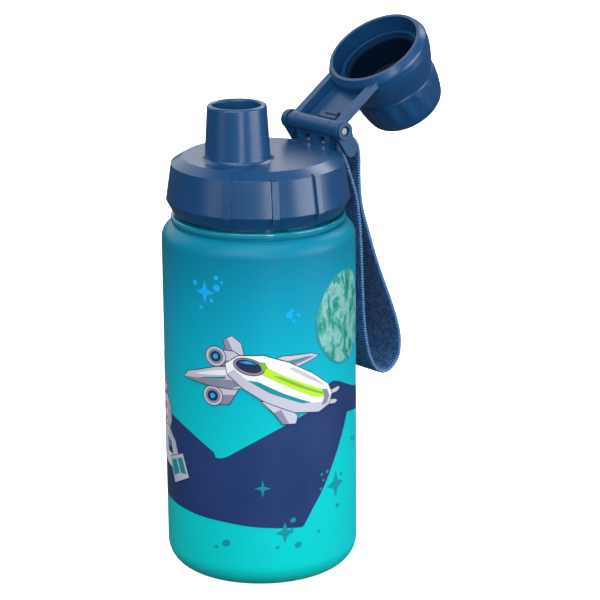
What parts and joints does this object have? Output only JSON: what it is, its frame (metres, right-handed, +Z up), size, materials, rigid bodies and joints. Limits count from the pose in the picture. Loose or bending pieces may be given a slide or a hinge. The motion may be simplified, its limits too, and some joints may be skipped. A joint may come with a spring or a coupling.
{
  "type": "kids water bottle",
  "caption": "Kids' drinking bottle: printed plastic bottle, screw lid with an offset spout, hinged cap with a twist knob, and a webbing wrist strap.",
  "frame": {"origin": "centre of the bottle's flat base, on its axis", "axes": "+Z up the bottle's axis; +X from the spout towards the cap's hinge and the strap; +Y along the hinge pin"},
  "size_m": [0.124, 0.072, 0.2005],
  "materials": {
    "bottle_plastic": "satin, teal shading to turquoise, printed",
    "lid_plastic": "semi-gloss moulded, navy",
    "seal_silicone": "soft matt silicone",
    "pin_steel": "cut bright steel",
    "strap_webbing": "woven webbing with pale flecked selvedges",
    "strap_thread": "sewing thread"
  },
  "bodies": {
    "bottle": {"bottle_body": "bottle_plastic"},
    "gasket": {"lid_gasket": "seal_silicone"},
    "lid": {"screw_lid": "lid_plastic", "hinge_pin": "pin_steel"},
    "bracket": {"strap_bracket": "lid_plastic"},
    "strap": {"wrist_strap": "strap_webbing", "strap_stitching": "strap_thread"},
    "cap": {"cap_carrier": "lid_plastic"},
    "knob": {"cap_knob": "lid_plastic", "knob_end_plate": "lid_plastic", "knob_retaining_ring": "lid_plastic", "spout_seal": "seal_silicone"}
  },
  "joints": [
    {"name": "lid_rise", "type": "slide", "parent": "bottle", "child": "gasket", "axis": [0, 0, 1], "range_m": [0, 0.0181]},
    {"name": "lid_turn", "type": "hinge", "parent": "gasket", "child": "lid", "pos_m": [0, 0, 0.145], "axis": [0, 0, 1], "range_deg": [0, 720]},
    {"name": "cap_flip", "type": "hinge", "parent": "lid", "child": "cap", "pos_m": [0.0293, 0, 0.1647], "axis": [0, 1, 0], "range_deg": [-146, 0]},
    {"name": "knob_turn", "type": "hinge", "parent": "cap", "child": "knob", "pos_m": [0.05915, 0, 0.19], "axis": [0.5592, 0, -0.829], "range_deg": [0, 90]},
    {"name": "bracket_swing", "type": "hinge", "parent": "lid", "child": "bracket", "pos_m": [0.0293, 0, 0.1647], "axis": [0, -1, 0], "range_deg": [0, 20]},
    {"name": "strap_swing", "type": "hinge", "parent": "bracket", "child": "strap", "pos_m": [0.0345, 0, 0.1578], "axis": [0, -1, 0], "range_deg": [0, 35]}
  ],
  "couplings": [
    {"joint": "lid_rise", "follows": "lid_turn", "m_per_rad": 0.0014324}
  ]
}
